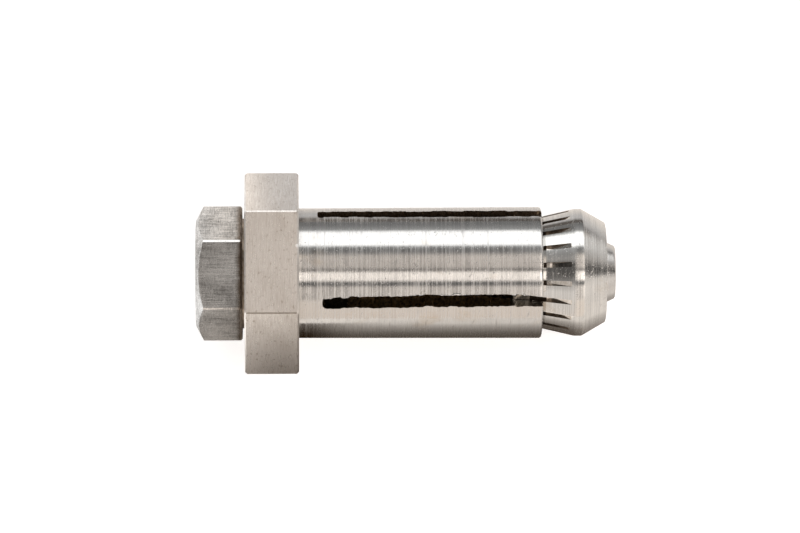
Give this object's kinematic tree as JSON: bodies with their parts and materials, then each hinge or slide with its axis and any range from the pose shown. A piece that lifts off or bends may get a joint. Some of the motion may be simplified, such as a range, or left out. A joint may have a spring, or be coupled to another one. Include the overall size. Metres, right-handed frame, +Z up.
{
  "type": "hollow section fixing",
  "caption": "Expanding bolt fixing for hollow sections: a hexagon bolt runs through a slotted sleeve with a hexagon collar into a grooved cone nut.",
  "frame": {"origin": "where the fixing's own axis crosses the bearing face of the collar", "axes": "+X points along the fixing from the bolt head to the cone, level; the fixing lies on one flat of its collar and on the cone, so its own axis dips 4.92 degrees below +X. +Y is to the left seen from the head, +Z is up"},
  "size_m": [0.0571, 0.0274, 0.0242],
  "materials": {
    "bolt_steel": "bare stainless steel, drawn and machined hexagon, rolled thread",
    "sleeve_steel": "bare stainless steel, fine turned lines, milled collar flats, rough sawn slots",
    "cone_steel": "bare stainless steel, fine turned lines"
  },
  "bodies": {
    "sleeve": {"slotted_sleeve": "sleeve_steel"},
    "bolt": {"hex_bolt": "bolt_steel"},
    "cone": {"cone_nut": "cone_steel"}
  },
  "joints": [
    {"name": "bolt_turn", "type": "hinge", "parent": "sleeve", "child": "bolt", "pos_m": [0, 0, 0], "axis": [0.9963, 0, -0.0857], "range_deg": [-2520, 0]},
    {"name": "cone_travel", "type": "slide", "parent": "sleeve", "child": "cone", "axis": [0.9963, 0, -0.0857], "range_m": [0, 0.0105]}
  ],
  "couplings": [
    {"joint": "cone_travel", "follows": "bolt_turn", "m_per_rad": -0.00023873}
  ]
}
